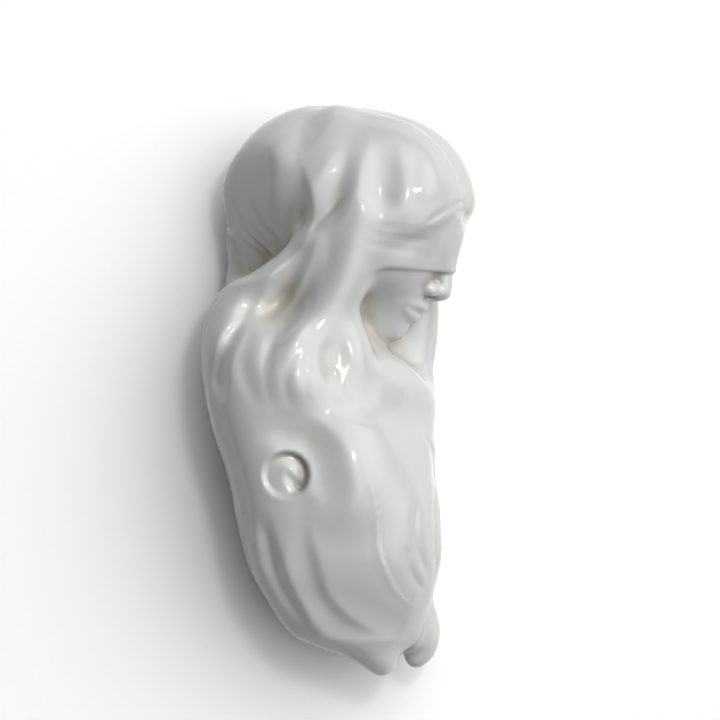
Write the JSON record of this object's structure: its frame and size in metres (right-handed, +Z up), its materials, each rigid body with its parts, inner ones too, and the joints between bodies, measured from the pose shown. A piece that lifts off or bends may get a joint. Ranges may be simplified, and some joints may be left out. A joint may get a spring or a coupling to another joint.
{
  "type": "blindfolded goddess figurine",
  "caption": "Half-length porcelain figurine of a blindfolded goddess with bowed head, long parted hair and a folded cloak, lying on its left side.",
  "frame": {"origin": "middle of the bounding box's underside, on the table that the figurine lies on", "axes": "+X to the front of the figure, +Y to the crown of the head, +Z up, out of its right side"},
  "size_m": [0.1366, 0.2836, 0.0975],
  "materials": {
    "glaze": "gloss white glaze"
  },
  "bodies": {
    "root": {"goddess_figurine": "glaze"}
  },
  "joints": []
}
